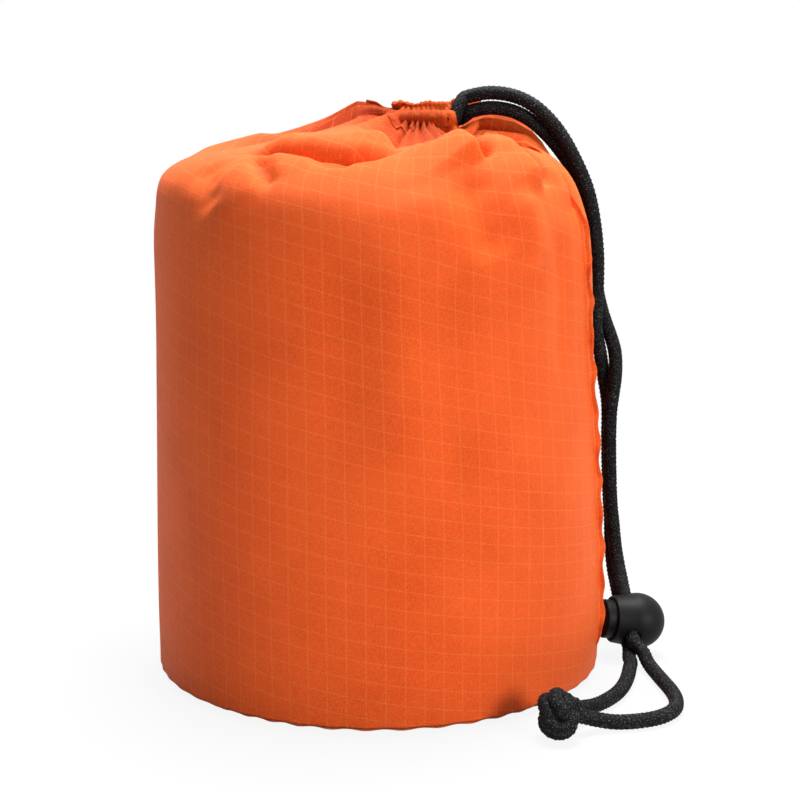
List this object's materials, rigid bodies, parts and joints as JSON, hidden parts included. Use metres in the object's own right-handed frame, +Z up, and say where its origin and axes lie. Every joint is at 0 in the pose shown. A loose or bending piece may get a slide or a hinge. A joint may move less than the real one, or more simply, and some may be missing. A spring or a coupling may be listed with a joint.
{
  "type": "packed tube tent",
  "caption": "Emergency tube tent packed in a round-bottomed drawstring stuff sack, with its rolled film tent, drawcord, sprung ball cord lock and end knot.",
  "frame": {"origin": "middle of the sack's flat base, on the floor that it stands on", "axes": "+Z up the sack's axis, -Y to the front from which it is usually seen, +X to the side that the drawcord hangs down"},
  "size_m": [0.1463, 0.1347, 0.1632],
  "materials": {
    "sack_cloth": "orange ripstop nylon, satin",
    "seam_cloth": "folded ripstop seam allowance",
    "tent_film": "folded orange film",
    "drawcord": "black braided cord",
    "lock_plastic": "black moulded plastic, fine satin",
    "spring_steel": "bright wire"
  },
  "bodies": {
    "sack": {"base_panel": "sack_cloth", "side_panel": "sack_cloth", "side_seam": "seam_cloth", "channel_hem": "sack_cloth", "tent_roll": "tent_film", "channel_cord": "drawcord", "front_strand": "drawcord", "rear_strand": "drawcord", "end_knot": "drawcord"},
    "cord_lock": {"lock_body": "lock_plastic", "lock_spring": "spring_steel"},
    "plunger": {"lock_plunger": "lock_plastic"}
  },
  "joints": [
    {"name": "lock_slide", "type": "slide", "parent": "sack", "child": "cord_lock", "axis": [-0.0799, 0.7649, 0.6391], "range_m": [0, 0.008]},
    {"name": "plunger_press", "type": "slide", "parent": "cord_lock", "child": "plunger", "axis": [0.9717, 0.2028, -0.1212], "range_m": [0, 0.0022], "stiffness_N_per_m": 1000, "springref_m": -0.002, "deforming": ["lock_spring"]}
  ]
}
